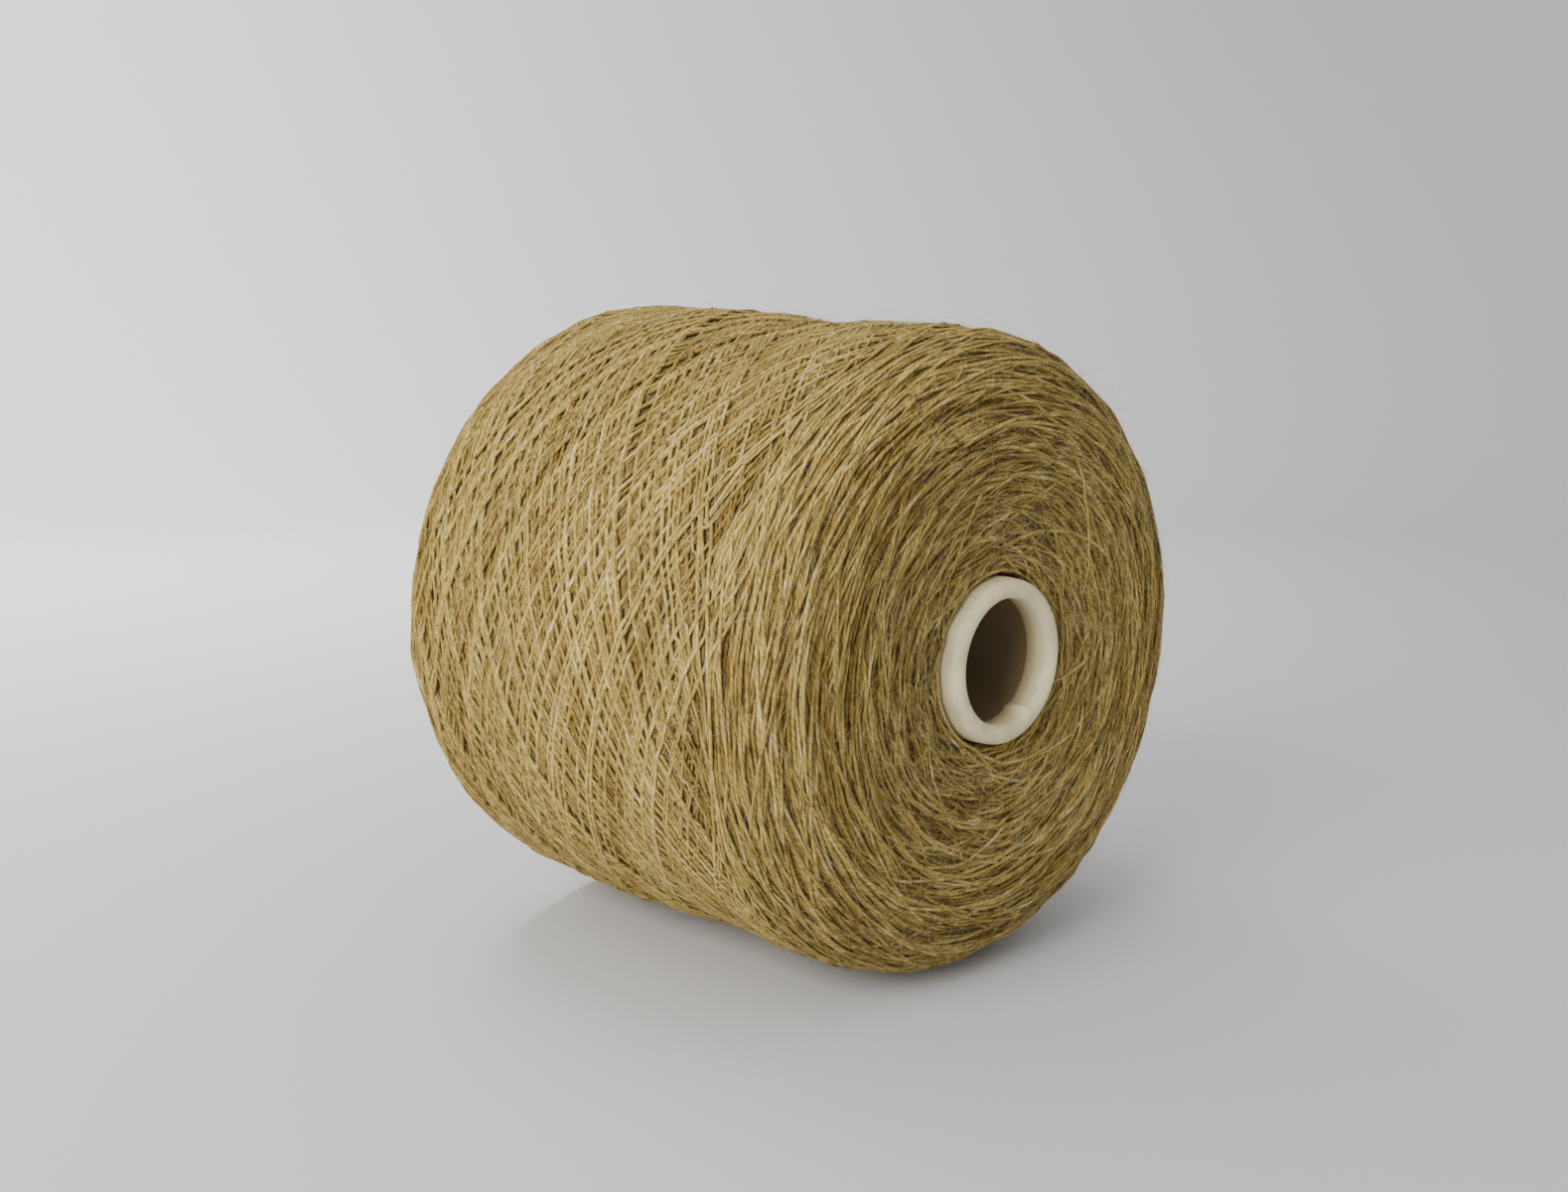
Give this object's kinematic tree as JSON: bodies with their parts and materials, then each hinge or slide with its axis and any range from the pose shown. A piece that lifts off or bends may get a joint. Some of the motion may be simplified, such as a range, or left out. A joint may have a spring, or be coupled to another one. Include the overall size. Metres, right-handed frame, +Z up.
{
  "type": "cone of mohair yarn",
  "caption": "Yarn cross-wound on a tapered paper core, a low-taper cone package with a rounded shoulder, lying on its side; the core's cream nose ring shows at one end.",
  "frame": {"origin": "on the surface the package lies on, under the middle of its box", "axes": "+Z up, the core's axis along +X with the nose end at +X and dipping 1.34 degrees, +Y across the package"},
  "size_m": [0.1728, 0.1996, 0.1986],
  "materials": {
    "yarn": "plied mohair and wool yarn, heathered ochre, slightly hairy and matt",
    "core_paper": "wound paper, cream, smooth and matt with a burnished nose"
  },
  "bodies": {
    "root": {"wound_yarn": "yarn", "paper_core": "core_paper"}
  },
  "joints": []
}
